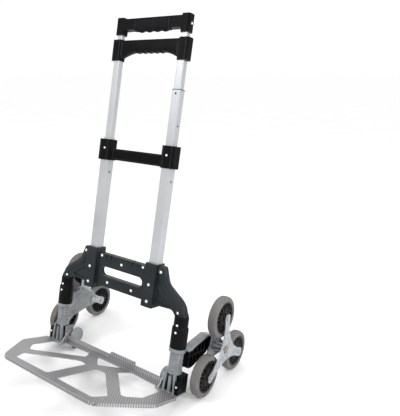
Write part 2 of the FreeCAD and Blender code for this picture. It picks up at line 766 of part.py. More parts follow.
HUB_PLACE = Vector(
    value("post_offset"), value(HUB_BACK) - ORIGIN_BACK, value("star_arm / 2 + wheel_radius"))
ARM_ANGLES = {"upper": 90, "front": 210, "rear": 330}


def star_place(arm=None):
    """The hub's place, or an arm's end, on the right-hand side."""
    centre = Vector(HUB_PLACE)
    if arm:
        angle = math.radians(ARM_ANGLES[arm])
        centre += Vector(0, math.cos(angle), math.sin(angle)) * value("star_arm")
    return Placement(centre, Rotation())


def star_outline():
    """Three round arm ends joined by hollow flanks."""
    reach, end, waist = value("star_arm"), value("arm_end"), value("star_waist")
    edges = []
    angles = [math.radians(angle) for angle in ARM_ANGLES.values()]
    for angle, following in zip(angles, angles[1:] + angles[:1]):
        along = Vector(math.cos(angle), math.sin(angle), 0)
        across = Vector(-along.y, along.x, 0)
        centre = along * reach
        tip_start, tip, tip_end = centre - across * end, centre + along * end, centre + across * end
        edges.append(Part.Arc(tip_start, tip, tip_end))
        next_along = Vector(math.cos(following), math.sin(following), 0)
        next_across = Vector(-next_along.y, next_along.x, 0)
        next_start = next_along * reach - next_across * end
        middle = (along + next_along).normalize() * waist
        edges.append(Part.Arc(tip_end, middle, next_start))
    return edges


def build_star_plate(name, start):
    plate = prism(name + "_blank", "YZ", [star_outline()], start, "star_sheet")
    holes = [bar(name + "_hub_hole", "hub_bolt_radius + running_gap", "20", "x", f"{start} - 5", "0", "0")]
    for arm, angle in ARM_ANGLES.items():
        across, up = math.cos(math.radians(angle)), math.sin(math.radians(angle))
        holes.append(bar(f"{name}_hole_{arm}", "axle_radius + 0.02", "20", "x", f"{start} - 5",
                         f"star_arm * {across:.6f}", f"star_arm * {up:.6f}"))
        slot = box(f"{name}_slot_{arm}", "20", "7", "2.4", f"{start}", "0", "-24")
        holder = doc.addObject("Part::Compound", f"{name}_slot_turned_{arm}")
        holder.Links = [slot]
        holder.Placement = Placement(Vector(), Rotation(Vector(1, 0, 0), angle - 90))
        holes.append(holder)
    pair(name, cut(name, plate, holes), star_place())


def build_hub_spacer():
    inner = "star_inner + star_sheet"
    length = "star_outer - star_inner - 2 * star_sheet"
    tube = bar("spacer_tube", "12", length, "x", inner, "0", "0")
    disc = bar("spacer_disc", "15", "6", "x", "star_inner + star_sheet", "0", "0")
    bore = bar("spacer_bore", "hub_bolt_radius + running_gap", "80", "x", "0", "0", "0")
    pair("hub_spacer", cut("hub_spacer", fuse("spacer_solid", [tube, disc]), [bore]), star_place())


def build_axles():
    pins = []
    for arm, angle in ARM_ANGLES.items():
        y = f"star_arm * {math.cos(math.radians(angle)):.6f}"
        z = f"star_arm * {math.sin(math.radians(angle)):.6f}"
        shank = bar(f"axle_{arm}_shank", "axle_radius", "star_outer - star_inner + 1", "x",
                    "star_inner - 0.5", y, z)
        inner_head = bar(f"axle_{arm}_inner", "6.5", "2", "x", "star_inner - 2", y, z)
        outer_head = bar(f"axle_{arm}_outer", "6.5", "2", "x", "star_outer", y, z)
        pins.append(fuse(f"axle_{arm}", [shank, inner_head, outer_head]))
    pair("wheel_axles", group("wheel_axles", pins), star_place())


def build_wheel(arm):
    """A black ribbed rim and its grey tyre, both turned about x."""
    near, far = "wheel_plane - wheel_width / 2", "wheel_plane + wheel_width / 2"
    rim_face = bar(f"rim_face_{arm}", "rim_radius - 5", "5", "x", "wheel_plane - 2.5", "0", "0")
    ring = bar(f"rim_ring_{arm}", "rim_radius", "wheel_width - 5", "x", f"{near} + 2.5", "0", "0")
    room = bar(f"rim_room_{arm}", "rim_radius - 5.5", "wheel_width", "x", near, "0", "0")
    hub_length = "star_outer - star_inner - 2 * star_sheet - 0.6"
    hub = bar(f"rim_hub_{arm}", "11", hub_length, "x", "star_inner + star_sheet + 0.3", "0", "0")
    ribs = []
    for number in range(0, 180, 30):
        rib = box(f"rim_rib_{arm}_{number}", "wheel_width - 9", "2 * rim_radius - 8", "2",
                  "wheel_plane", "0", "-1")
        holder = doc.addObject("Part::Compound", f"rim_rib_turned_{arm}_{number}")
        holder.Links = [rib]
        holder.Placement = Placement(Vector(), Rotation(Vector(1, 0, 0), number))
        ribs.append(holder)
    bore = bar(f"rim_bore_{arm}", "axle_radius + running_gap", "100", "x", "0", "0", "0")
    wall = cut(f"rim_wall_{arm}", ring, [room])
    solid = fuse(f"rim_solid_{arm}", [rim_face, wall, hub] + ribs)
    rim = cut(f"rim_{arm}", solid, [bore])
    pair(f"rim_{arm}", rim, star_place(arm))

    half, deep = "wheel_width / 2", "wheel_radius - rim_radius"
    section = [
        (f"rim_radius + 0.1", f"-({half}) + 1", "1"), (f"wheel_radius", f"-({half})", "7"),
        ("wheel_radius", half, "7"), ("rim_radius + 0.1", f"{half} - 1", "1"),
    ]
    body = doc.addObject("PartDesign::Body", f"tyre_{arm}")
    origin = next(item for item in body.Origin.OriginFeatures if item.Role == "XY_Plane")
    sketch = body.newObject("Sketcher::SketchObject", f"tyre_sketch_{arm}")
    sketch.AttachmentSupport = (origin, [""])
    sketch.MapMode = "FlatFace"
    sketch.setExpression("AttachmentOffset.Base.x", sized("wheel_plane"))
    turned = []
    for edge in outline([(y, x, radius) for x, y, radius in section]):
        turned.append(edge)
    sketch.addGeometry(turned)
    revolve = body.newObject("PartDesign::Revolution", f"tyre_turn_{arm}")
    revolve.Profile = sketch
    revolve.ReferenceAxis = (next(i for i in body.Origin.OriginFeatures if i.Role == "X_Axis"), [""])
    revolve.Angle = 360
    pair(f"tyre_{arm}", body, star_place(arm))


build_star_plate("star_outer", "star_outer - star_sheet")
build_star_plate("star_inner", "star_inner")
build_hub_spacer()
build_axles()
for arm_name in ARM_ANGLES:
    build_wheel(arm_name)


# ---------------------------------------------------------------- feet

PIVOT_Y = "-16 + pivot_back * cos(plate_tilt) + pivot_up * sin(plate_tilt)"
PIVOT_Z = "pivot_up * cos(plate_tilt) - pivot_back * sin(plate_tilt)"


def build_foot():
    """Cast foot: ring under the swivel, two front legs, a column, cheek and gear housing."""
    post = "post_offset"
    ring = bar("foot_ring", "21", "9.4", "z", post, "0", "foot_top")
    base = box("foot_base", "block_outer - post_offset + foot_half", "foot_front + foot_back", "4",
               "(block_outer + post_offset - foot_half) / 2", "0", "-4")
    legs = []
    for number, sign in enumerate(("-", "")):
        leg = outline([
            (f"post_offset {sign or '+'} 11", "foot_top + 3", "0"),
            (f"post_offset {sign or '+'} 16", "foot_top + 3", "0"),
            (f"post_offset {sign or '+'} 21", "-2", "0"), (f"post_offset {sign or '+'} 15", "-2", "0"),
        ])
        legs.append(prism(f"foot_leg_{number}", "XZ", [leg], "12.5", "10"))
    column = bar("foot_column", "5.5", "foot_top - 4", "z", post, "-17.5", "-1")
    cheek = box("foot_cheek", "4.5", "foot_back + 8", "foot_top + 3",
                "post_offset - foot_half - 2", "(foot_back - 8) / 2", "-4")
    spindle = bar("housing_spindle", "10", "15.5", "x", "187.5", "28.5", "19")
    drum = bar("gear_housing", "24.5", "12", "x", "176", "28.5", "19")
    drum_rim = rounded("gear_housing_round", drum, "2", lambda edge: edge.Curve.TypeId == "Part::GeomCircle")
    pivot_hole = bar("pivot_hole", "4 + 0.02", "40", "x", "190", PIVOT_Y, PIVOT_Z)
    post_hole = bar("foot_post_hole", "post_radius + 0.15", "80", "z", post, "0", "post_foot - 1")
    block_room = box("block_room", "2 * foot_half - 4.8", "60", "foot_top + 0.2", "post_offset + 0.1",
                     "18.3", "0")
    frame = fuse("foot_frame", [ring, base, *legs, column, cheek])
    opened = cut("foot_opened", frame, [post_hole, block_room, pivot_hole])
    pair("foot_casting", fuse("foot_casting", [opened, spindle, drum_rim]))


def build_foot_block():
    """Black block round the post, wider on its outer side, with a screw in its outer front."""
    inner = "post_offset - foot_half + 2.6"
    block = box("block_body", f"block_outer - ({inner})", "foot_back + 11.2", "foot_top - 0.4",
                f"(block_outer + {inner}) / 2", "(foot_back - 11.2) / 2", "0.2")
    wing = box("block_wing", "12", "foot_front + 10", "foot_top - 14", "block_outer - 6",
               "(10 - foot_front) / 2 + 1", "0.2")
    solid = fuse("block_solid", [block, wing])
    round_block = rounded(
        "block_round", solid, "3", lambda edge: upright(edge) and edge.BoundBox.XMin > value("block_outer - 1"))
    hole = bar("block_hole", "post_radius + 0.15", "80", "z", "post_offset", "0", "post_foot - 0.2")
    screw_room = bar("block_screw_room", "1.6", "8", "y", "block_outer - 7.2", "-foot_front", "23")
    pair("foot_block", cut("foot_block", round_block, [hole, screw_room]))


def build_block_screws():
    heads = []
    for side, sign in (("right", ""), ("left", "-")):
        spot = (f"{sign}(block_outer - 7.2)", "-foot_front + 1 - 1.4", "23")
        head = bar(f"block_screw_{side}_head", "3", "1.4", "y", *spot)
        shank = bar(f"block_screw_{side}_shank", "1.5", "6", "y", *spot)
        heads.append(fuse(f"block_screw_{side}", [head, shank]))
    finish("block_screws", group("block_screws", heads))


def build_foot_heel():
    """Rubber heel under the gear housing; its back edge stands on the floor while the trolley leans."""
    body = box("heel_body", "12", "20", "24", "182", "28", "heel_foot")
    drum = bar("heel_drum", "24.5", "30", "x", "170", "28.5", "19")
    pair("foot_heel", cut("foot_heel", body, [drum]))


def build_pivot_pins():
    shank = bar("pivot_shank", "4", "14.5", "x", "189", PIVOT_Y, PIVOT_Z)
    head = bar("pivot_head", "6", "3", "x", "188.6", PIVOT_Y, PIVOT_Z)
    pair("pivot_pin", fuse("pivot_pin", [shank, head]))


build_foot()
build_foot_block()
build_block_screws()
build_foot_heel()
build_pivot_pins()


# ---------------------------------------------------------------- toe plate

def plate_loop(inset):
    """The pressed plate's outline, with y counted forwards from its rear reference line."""
    side, nose = f"plate_half - {inset}", f"plate_nose_half - {inset} * 0.6"
    front, bend = f"-plate_depth + {inset}", f"-plate_side - {inset} * 0.1"
    back, middle_back = f"-12 - {inset}", "flange_back + 2.5"
    right = [
        ("ear_outer + 0.2" if inset == 0 else "ear_outer - 2", middle_back, "0"),
        ("ear_outer + 0.2" if inset == 0 else "ear_outer - 2", back, "0"), (side, back, "6"),
        (side, bend, f"40 - {inset}"), (nose, front, f"40 - {inset}"),
    ]
    left = [(f"-({x})", y, radius) for x, y, radius in reversed(right)]
    return outline(right + left)


def window(corners, mirror=False):
    sign = "-" if mirror else ""
    return outline([(f"{sign}({x})", f"-({y})", radius) for x, y, radius in corners])


SIDE_WINDOW = [
    ("216", "116", "12"), ("213", "20", "8"), ("188", "18", "6"), ("182", "0", "6"),
    ("86", "-8", "8"), ("66", "33", "9"), ("181", "163", "12"),
]
NOSE_WINDOW = [
    ("19", "239", "8"), ("19", "78", "14"), ("50", "72", "14"), ("164", "196", "12"), ("147", "240", "12"),
]
TAIL_WINDOW = [("-50", "-8", "6"), ("50", "-8", "6"), ("0", "52", "8")]


def build_toe_plate():
    windows = [window(SIDE_WINDOW), window(SIDE_WINDOW, True), window(NOSE_WINDOW),
               window(NOSE_WINDOW, True), window(TAIL_WINDOW)]
    face = prism("plate_face", "XY", [plate_loop(0)] + windows, "-plate_sheet", "plate_sheet")
    skirt = prism("plate_skirt", "XY", [plate_loop(0)], "-plate_rim", "plate_rim")
    room = prism("plate_room", "XY", [plate_loop(3)], "-plate_rim - 1", "plate_rim + 2")
    behind = box("plate_behind", "2 * ear_inner", "40", "plate_rim + 4", "0", "18", "-plate_rim - 2")
    rim = cut("plate_border", skirt, [room, behind])
    flange = box("plate_flange", "2 * ear_inner", "2.5", "flange_height + plate_sheet", "0",
                 "flange_back + 1.25", "-plate_sheet")
    ear_loop = outline([
        ("-14", "-plate_sheet", "0"), ("pivot_back + 6", "-plate_sheet", "4"),
        ("pivot_back + 11", "pivot_up", "6"), ("pivot_back + 8", "pivot_up + 10", "9"),
        ("pivot_back - 9", "pivot_up + 10", "9"), ("pivot_back - 13", "pivot_up - 6", "8"),
    ])
    ear = prism("plate_ear", "YZ", [ear_loop], "ear_inner", "ear_outer - ear_inner")
    solid = fuse("plate_solid", [face, rim, flange, ear, mirrored("plate_ear_left", ear)])
    hole = bar("ear_hole", "4 + running_gap", "20", "x", "ear_inner - 5", "pivot_back", "pivot_up")
    finish("toe_plate", cut("toe_plate", solid, [hole, mirrored("ear_hole_left", hole)]), PLATE)


def build_plate_clip():
    """Folded cover over the middle of the rear flange."""
    outer = box("clip_outer", "92", "9", "19", "40", "flange_back + 1.25", "11.5")
    inner = box("clip_inner", "96", "2.9", "11", "40", "flange_back + 1.25", "11.4")
    shell = rounded("clip_round", outer, "1.5", lambda edge: edge.BoundBox.ZMin > 30)
    finish("plate_clip", cut("plate_clip", shell, [inner]), PLATE)


build_toe_plate()
build_plate_clip()


# ---------------------------------------------------------------- checks and files

doc.recompute()
for item in doc.Objects:
    if "Invalid" in item.State or "Error" in item.State:
        raise RuntimeError(f"{item.Name} ({item.Label}): {item.State}")
for piece in finished:
    if piece.Shape.isNull() or not piece.Shape.isValid():
        raise RuntimeError(f"{piece.Label}: bad shape")
os.makedirs("parts", exist_ok=True)
for piece in finished:
    piece.Shape.exportStep(f"parts/{piece.Label}.step")
print(len(finished), "pieces, stand height", round(value(STAND_HEIGHT), 2))
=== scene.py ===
import json
import math

import bmesh
import bpy
from mathutils import Matrix, Vector


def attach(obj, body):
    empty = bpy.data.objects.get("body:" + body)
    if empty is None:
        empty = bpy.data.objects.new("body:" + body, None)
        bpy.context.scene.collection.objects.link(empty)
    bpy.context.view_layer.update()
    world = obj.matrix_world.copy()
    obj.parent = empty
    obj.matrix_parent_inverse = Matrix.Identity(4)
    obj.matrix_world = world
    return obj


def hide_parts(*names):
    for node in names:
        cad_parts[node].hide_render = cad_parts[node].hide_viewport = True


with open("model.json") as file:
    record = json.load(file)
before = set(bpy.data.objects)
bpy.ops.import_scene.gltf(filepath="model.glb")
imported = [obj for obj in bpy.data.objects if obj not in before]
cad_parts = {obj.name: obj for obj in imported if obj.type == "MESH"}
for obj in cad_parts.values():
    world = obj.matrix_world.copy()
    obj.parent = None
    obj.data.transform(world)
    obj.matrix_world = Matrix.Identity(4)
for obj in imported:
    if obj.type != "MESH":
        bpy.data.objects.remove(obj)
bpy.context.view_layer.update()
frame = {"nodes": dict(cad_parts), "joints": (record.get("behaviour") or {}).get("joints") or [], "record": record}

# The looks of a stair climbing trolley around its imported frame. Lengths are in metres.
# "Local" places are in the trolley's own upright frame: x to the right seen from the front,
# y to the back, z up along the tubes; the trolley leans back by LEAN about the x axis.

LEAN = math.radians(11.8)
ARMS = ("upper", "front", "rear")
SIDES = {"right": 1, "left": -1}
POST_OFFSET = 0.225
SWING_HEIGHT = 0.092


def joint(name):
    return next(item for item in frame["joints"] if item["name"] == name)


def stand_matrix():
    """Local places to row places, read from the post axis of the swing joint."""
    swing = joint("swing_right")
    turn = Matrix.Rotation(-LEAN, 4, "X")
    post = Vector(swing["pos_m"])
    return Matrix.Translation(post - turn @ Vector((POST_OFFSET, 0, SWING_HEIGHT))) @ turn


STAND = stand_matrix()


# ---------------------------------------------------------------- material tools

# radii within which an edge is painted lighter as a highlight
MOULDED_EDGE = 0.0012
PRESSED_EDGE = 0.0015
CUT_EDGE = 0.0006
DIAMOND_ANGLE = 32
DIAMOND_SCALE = 52

class Nodes:
    """A small helper that adds shader nodes and links them."""

    def __init__(self, name):
        self.material = bpy.data.materials.new(name)
        self.material.use_nodes = True
        self.tree = self.material.node_tree
        self.shader = self.tree.nodes["Principled BSDF"]
        self.place = self.add("ShaderNodeTexCoord").outputs["Object"]

    def add(self, kind, **settings):
        node = self.tree.nodes.new(kind)
        for name, setting in settings.items():
            setattr(node, name, setting)
        return node

    def link(self, output, target):
        self.tree.links.new(output, target)

    def noise(self, scale, detail=3, stretch=(1, 1, 1), roughness=0.55):
        mapping = self.add("ShaderNodeMapping")
        mapping.inputs["Scale"].default_value = stretch
        self.link(self.place, mapping.inputs["Vector"])
        noise = self.add("ShaderNodeTexNoise")
        noise.inputs["Scale"].default_value = scale
        noise.inputs["Detail"].default_value = detail
        noise.inputs["Roughness"].default_value = roughness
        self.link(mapping.outputs["Vector"], noise.inputs["Vector"])
        return noise.outputs["Fac"]

    def ramp(self, factor, stops):
        ramp = self.add("ShaderNodeValToRGB")
        elements = ramp.color_ramp.elements
        while len(elements) < len(stops):
            elements.new(0.5)
        for element, (position, colour) in zip(elements, stops):
            element.position = position
            element.color = (*colour, 1)
        self.link(factor, ramp.inputs["Fac"])
        return ramp.outputs["Color"]

    def spread(self, factor, low, high):
        node = self.add("ShaderNodeMapRange")
        node.inputs["To Min"].default_value = low
        node.inputs["To Max"].default_value = high
        self.link(factor, node.inputs["Value"])
        return node.outputs["Result"]

    def mix(self, factor, first, second):
        node = self.add("ShaderNodeMix", data_type="RGBA")
        self.link(factor, node.inputs["Factor"])
        for socket, colour in ((6, first), (7, second)):
            if isinstance(colour, tuple):
                node.inputs[socket].default_value = (*colour, 1)
            else:
                self.link(colour, node.inputs[socket])
        return node.outputs[2]

    def math(self, operation, first, second):
        node = self.add("ShaderNodeMath", operation=operation)
        for socket, item in zip(node.inputs, (first, second)):
            if isinstance(item, (int, float)):
                socket.default_value = item
            else:
                self.link(item, socket)
        return node.outputs[0]

    def painted_edge_highlight(self, radius):
        """How sharp the edge is (0 on flat faces, 1 at most), the mask for painted edge highlights, and the
        rounded normal.
        """
        bevel = self.add("ShaderNodeBevel", samples=4)
        bevel.inputs["Radius"].default_value = radius
        geometry = self.add("ShaderNodeNewGeometry")
        dot = self.add("ShaderNodeVectorMath", operation="DOT_PRODUCT")
        self.link(bevel.outputs["Normal"], dot.inputs[0])
        self.link(geometry.outputs["True Normal"], dot.inputs[1])
        away = self.math("SUBTRACT", 1.0, dot.outputs["Value"])
        strong = self.math("MULTIPLY", away, 4.0)
        return self.math("MINIMUM", strong, 1.0), bevel.outputs["Normal"]

    def bump(self, height, distance, strength=1.0, normal=None):
        node = self.add("ShaderNodeBump")
        node.inputs["Distance"].default_value = distance
        node.inputs["Strength"].default_value = strength
        self.link(height, node.inputs["Height"])
        if normal is not None:
            self.link(normal, node.inputs["Normal"])
        self.link(node.outputs["Normal"], self.shader.inputs["Normal"])


def mottled(name, dark, light, rough, metallic=0.0, patch=14, grain=900, grain_depth=0.00006,
            stretch=(1, 1, 1), highlight_colour=(1, 1, 1), level=0.5):
    """A finish with slow colour variation, fine grain in the relief and edges painted lighter as a highlight."""
    nodes = Nodes(name)
    shader = nodes.shader
    shader.inputs["Metallic"].default_value = metallic
    shader.inputs["Specular IOR Level"].default_value = level
    slow = nodes.noise(patch, detail=4)
    colour = nodes.ramp(slow, [(0.32, dark), (0.68, light)])
    # painted highlight: sharp edges are mixed towards the lighter edge colour, broken up by noise
    highlight, soft = nodes.painted_edge_highlight(MOULDED_EDGE)
    broken_highlight = nodes.math("MULTIPLY", highlight, nodes.spread(nodes.noise(160, detail=2), 0.2, 0.9))
    colour = nodes.mix(broken_highlight, colour, highlight_colour)
    nodes.link(colour, shader.inputs["Base Color"])
    fine = nodes.noise(grain, detail=2, stretch=stretch)
    roughness = nodes.spread(nodes.math("ADD", nodes.math("MULTIPLY", slow, 0.5),
                                        nodes.math("MULTIPLY", fine, 0.5)), rough[0], rough[1])
    nodes.link(roughness, shader.inputs["Roughness"])
    nodes.bump(fine, grain_depth, normal=soft)
    return nodes.material


def plate_material():
    """Grey painted sheet with a fine embossed diamond pattern."""
    nodes = Nodes("plate_diamond")
    shader = nodes.shader
    shader.inputs["Metallic"].default_value = 0.55
    shader.inputs["Specular IOR Level"].default_value = 0.5
    slow = nodes.noise(9, detail=4)
    colour = nodes.ramp(slow, [(0.3, (0.15, 0.15, 0.153)), (0.7, (0.20, 0.20, 0.204))])
    diamonds = None
    for angle in (DIAMOND_ANGLE, -DIAMOND_ANGLE):
        turn = nodes.add("ShaderNodeMapping")
        turn.inputs["Rotation"].default_value = (0, 0, math.radians(angle))
        nodes.link(nodes.place, turn.inputs["Vector"])
        wave = nodes.add("ShaderNodeTexWave", wave_type="BANDS", bands_direction="X")
        wave.inputs["Scale"].default_value = DIAMOND_SCALE
        wave.inputs["Distortion"].default_value = 0
        nodes.link(turn.outputs["Vector"], wave.inputs["Vector"])
        value = wave.outputs["Fac"]
        diamonds = value if diamonds is None else nodes.math("MULTIPLY", diamonds, value)
    # painted highlight: sharp plate edges are mixed towards a light grey
    highlight, soft = nodes.painted_edge_highlight(PRESSED_EDGE)
    colour = nodes.mix(nodes.math("MULTIPLY", highlight, 0.8), colour, (0.60, 0.60, 0.61))
    # painted highlight: the raised diamonds are mixed towards a lighter grey, standing in for light on the
    # embossing
    diamond_highlight_colour = nodes.mix(nodes.math("MULTIPLY", diamonds, 0.95), colour, (0.55, 0.55, 0.56))
    nodes.link(diamond_highlight_colour, shader.inputs["Base Color"])
    nodes.link(nodes.spread(nodes.noise(300, detail=2), 0.34, 0.5), shader.inputs["Roughness"])
    nodes.bump(diamonds, 0.0005, strength=0.7, normal=soft)
    return nodes.material


def zinc_material(name, dark, light, rough, yellow=None):
    """Plated sheet with crystal-like patches and faint rolling lines."""
    nodes = Nodes(name)
    shader = nodes.shader
    shader.inputs["Metallic"].default_value = 0.85
    cells = nodes.add("ShaderNodeTexVoronoi")
    cells.inputs["Scale"].default_value = 120
    nodes.link(nodes.place, cells.inputs["Vector"])
    grey = nodes.add("ShaderNodeRGBToBW")
    nodes.link(cells.outputs["Color"], grey.inputs["Color"])
    colour = nodes.ramp(grey.outputs["Val"], [(0.2, dark), (0.8, light)])
    if yellow:
        colour = nodes.mix(nodes.spread(nodes.noise(60, detail=3), 0.2, 0.9), colour, yellow)
    # painted highlight: sharp edges are mixed towards a near-white grey
    highlight, soft = nodes.painted_edge_highlight(CUT_EDGE)
    colour = nodes.mix(nodes.math("MULTIPLY", highlight, 0.5), colour, (0.85, 0.86, 0.87))
    nodes.link(colour, shader.inputs["Base Color"])
    lines = nodes.noise(260, detail=2, stretch=(1, 0.08, 1))
    nodes.link(nodes.spread(lines, rough[0], rough[1]), shader.inputs["Roughness"])
    nodes.bump(lines, 0.00003, normal=soft)
    return nodes.material


def build_materials():
    # the edge colours given below are painted edge highlights
    return {
        "tube": mottled("tube_satin", (0.40, 0.41, 0.43), (0.48, 0.49, 0.51), (0.30, 0.44), metallic=0.6,
                        patch=6, grain=420, grain_depth=0.00003, stretch=(1, 1, 0.02),
                        highlight_colour=(0.80, 0.80, 0.82)),
        "shell": mottled("shell_charcoal", (0.009, 0.013, 0.016), (0.017, 0.022, 0.026), (0.34, 0.50),
                         patch=18, grain=1400, grain_depth=0.00005, highlight_colour=(0.13, 0.14, 0.15), level=0.18),
        "handle": mottled("handle_black", (0.0022, 0.0022, 0.0026), (0.005, 0.005, 0.0055), (0.30, 0.46),
                          patch=20, grain=1300, grain_depth=0.00006, highlight_colour=(0.16, 0.16, 0.165), level=0.05),
        "grip": mottled("grip_rubber", (0.006, 0.0055, 0.008), (0.011, 0.010, 0.014), (0.5, 0.66),
                        patch=30, grain=1800, grain_depth=0.00008, highlight_colour=(0.09, 0.09, 0.10), level=0.05),
        "rivet": mottled("rivet_bright", (0.86, 0.87, 0.88), (0.96, 0.96, 0.97), (0.28, 0.44),
                         metallic=0.35, patch=200, grain=900, grain_depth=0.00002, highlight_colour=(0.97, 0.97, 0.97)),
        "side_tube": mottled("side_tube_black", (0.004, 0.005, 0.006), (0.009, 0.010, 0.012), (0.22, 0.34),
                             patch=12, grain=700, grain_depth=0.00003, highlight_colour=(0.06, 0.06, 0.065), level=0.2),
        "sleeve": mottled("sleeve_black", (0.0025, 0.003, 0.0034), (0.006, 0.0065, 0.007), (0.28, 0.44),
                          patch=16, grain=1100, grain_depth=0.00005, highlight_colour=(0.14, 0.14, 0.15), level=0.06),
        "casting": mottled("casting_grey", (0.17, 0.18, 0.19), (0.27, 0.285, 0.30), (0.22, 0.36),
                           patch=30, grain=800, grain_depth=0.00006, highlight_colour=(0.78, 0.81, 0.84), level=0.3),
        "bolt": zinc_material("bolt_zinc", (0.32, 0.32, 0.315), (0.50, 0.50, 0.49), (0.25, 0.45),
                              yellow=(0.40, 0.395, 0.37)),
        "star": zinc_material("star_zinc", (0.30, 0.32, 0.34), (0.44, 0.46, 0.48), (0.28, 0.46)),
        "rim": mottled("rim_black", (0.0022, 0.0022, 0.0025), (0.006, 0.006, 0.0063), (0.26, 0.40),
                       patch=30, grain=1200, grain_depth=0.00005, highlight_colour=(0.30, 0.30, 0.31), level=0.12),
        "tyre": mottled("tyre_grey", (0.125, 0.122, 0.118), (0.175, 0.171, 0.165), (0.6, 0.8),
                        patch=26, grain=1000, grain_depth=0.0001, highlight_colour=(0.26, 0.255, 0.25), level=0.2),
        "plate": plate_material(),
    }


def paint_nodes(materials):
    for part in frame["record"]["subparts"]:
        node = frame["nodes"][part["node"]]
        node.data.materials.clear()
        node.data.materials.append(materials[part["material_slot"]])


# ---------------------------------------------------------------- mesh tools

def piece(name, mesh_maker, body, slot, materials, matrix, smooth=True):
    """A new object from a bmesh recipe that rides on a body."""
    mesh = bpy.data.meshes.new(name)
    shape = bmesh.new()
    mesh_maker(shape)
    bmesh.ops.recalc_face_normals(shape, faces=shape.faces)
    shape.to_mesh(mesh)
    shape.free()
    made = bpy.data.objects.new(name, mesh)
    bpy.context.scene.collection.objects.link(made)
    mesh.transform(matrix)
    mesh.materials.append(materials[slot])
    for face in mesh.polygons:
        face.use_smooth = smooth
    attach(made, body)
    return made


def lathe(shape, profile, segments, axis="X"):
    """Turns (along, radius) points about x; the profile is closed on itself."""
    rings = []
    for step in range(segments):
        angle = 2 * math.pi * step / segments
        rings.append([
            shape.verts.new((along, radius * math.cos(angle), radius * math.sin(angle)))
            for along, radius in profile
        ])
    count = len(profile)
    for step in range(segments):
        here, there = rings[step], rings[(step + 1) % segments]
        for index in range(count):
            following = (index + 1) % count
            shape.faces.new((here[index], here[following], there[following], there[index]))


def block(shape, low, high, turn=Matrix()):
    """A box between two corners, turned."""
    corners = [turn @ Vector((x, y, z)) for x in (low[0], high[0]) for y in (low[1], high[1])
               for z in (low[2], high[2])]
    verts = [shape.verts.new(corner) for corner in corners]
    for face in ((0, 1, 3, 2), (4, 6, 7, 5), (0, 4, 5, 1), (2, 3, 7, 6), (0, 2, 6, 4), (1, 5, 7, 3)):
        shape.faces.new([verts[index] for index in face])


# ---------------------------------------------------------------- wheels

RIM_RIBS = 18
RIM_HALF = 0.0115
RIM_RADIUS = 0.047
RIM_BORE = 0.0045
RIB_HALF = 0.0012
BOSS_REACH = RIM_HALF + 0.0035
BOSS_RADIUS = 0.0125
DISH_RADIUS = 0.019
TYRE_RADIUS = 0.0612
TYRE_HALF = 0.0129
TYRE_SHOULDER = 0.0062
TYRE_CROWN = 0.0008


def build_wheels(materials):
    """Each wheel gets a dished rim with radial ribs and a crowned tyre."""
    def rim(shape):
        for face in (-1, 1):
            dish = [
                (face * RIM_HALF, RIM_RADIUS), (face * RIM_HALF, RIM_RADIUS - 0.004),
                (face * (RIM_HALF - 0.0085), RIM_RADIUS - 0.0055),
                (face * (RIM_HALF - 0.0095), DISH_RADIUS),
                (face * (RIM_HALF - 0.002), BOSS_RADIUS + 0.001), (face * BOSS_REACH, BOSS_RADIUS),
                (face * BOSS_REACH, RIM_BORE), (0, RIM_BORE), (0, RIM_RADIUS),
            ]
            lathe(shape, dish, 64)
            for number in range(RIM_RIBS):
                turn = Matrix.Rotation(2 * math.pi * number / RIM_RIBS, 4, "X")
                near, far = sorted((face * (RIM_HALF - 0.0098), face * (RIM_HALF - 0.0006)))
                block(shape, (near, -RIB_HALF, BOSS_RADIUS + 0.0005),
                      (far, RIB_HALF, RIM_RADIUS - 0.0045), turn)

    def tyre(shape):
        crown = []
        for step in range(9):
            angle = math.pi / 2 * step / 8
            crown.append((TYRE_HALF - TYRE_SHOULDER * (1 - math.cos(angle)),
                          TYRE_RADIUS - TYRE_CROWN - TYRE_SHOULDER * (1 - math.sin(angle))))
        side = [(TYRE_HALF - 0.001, RIM_RADIUS), (TYRE_HALF, RIM_RADIUS + 0.002)]
        middle = [(0, TYRE_RADIUS)]
        profile = side + crown + middle + [(-x, r) for x, r in reversed(side + crown)]
        lathe(shape, profile, 96)

    for arm in ARMS:
        for side in SIDES:
            body = f"wheel_{arm}_{side}"
            centre = Matrix.Translation(Vector(joint(body + "_spin")["pos_m"]))
            made = piece(f"rim_ribbed_{arm}_{side}", rim, body, "rim", materials, centre, smooth=False)
            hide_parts(f"rim_{arm}_{side}")
            made = piece(f"tyre_crowned_{arm}_{side}", tyre, body, "tyre", materials, centre)
            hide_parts(f"tyre_{arm}_{side}")


# ---------------------------------------------------------------- handles

def superellipse_ring(shape, x, low, high, depth, power=3.2, count=32):
    """A rounded section at x between two heights, centred on y = 0."""
    ring = []
    for step in range(count):
        angle = 2 * math.pi * (step + 0.5) / count
        across, up = math.cos(angle), math.sin(angle)
        y = depth / 2 * math.copysign(abs(across) ** (2 / power), across)
        z = (low + high) / 2 + (high - low) / 2 * math.copysign(abs(up) ** (2 / power), up)
        ring.append(shape.verts.new((x, y, z)))
    return ring


def loft(shape, rings):
    for here, there in zip(rings, rings[1:]):
        for index in range(len(here)):
            following = (index + 1) % len(here)
            shape.faces.new((here[index], here[following], there[following], there[index]))
    shape.faces.new(rings[0])
    shape.faces.new(list(reversed(rings[-1])))


def finger_waves(x, half_length, waves, depth):
    """How far the finger bumps reach below the grip at x; they fade out at the grip's ends."""
    if abs(x) >= half_length:
        return 0.0
    phase = (x / half_length + 1) / 2 * waves
    fade = min(1.0, (half_length - abs(x)) / 0.006)
    return depth * fade * (0.5 - 0.5 * math.cos(2 * math.pi * phase))


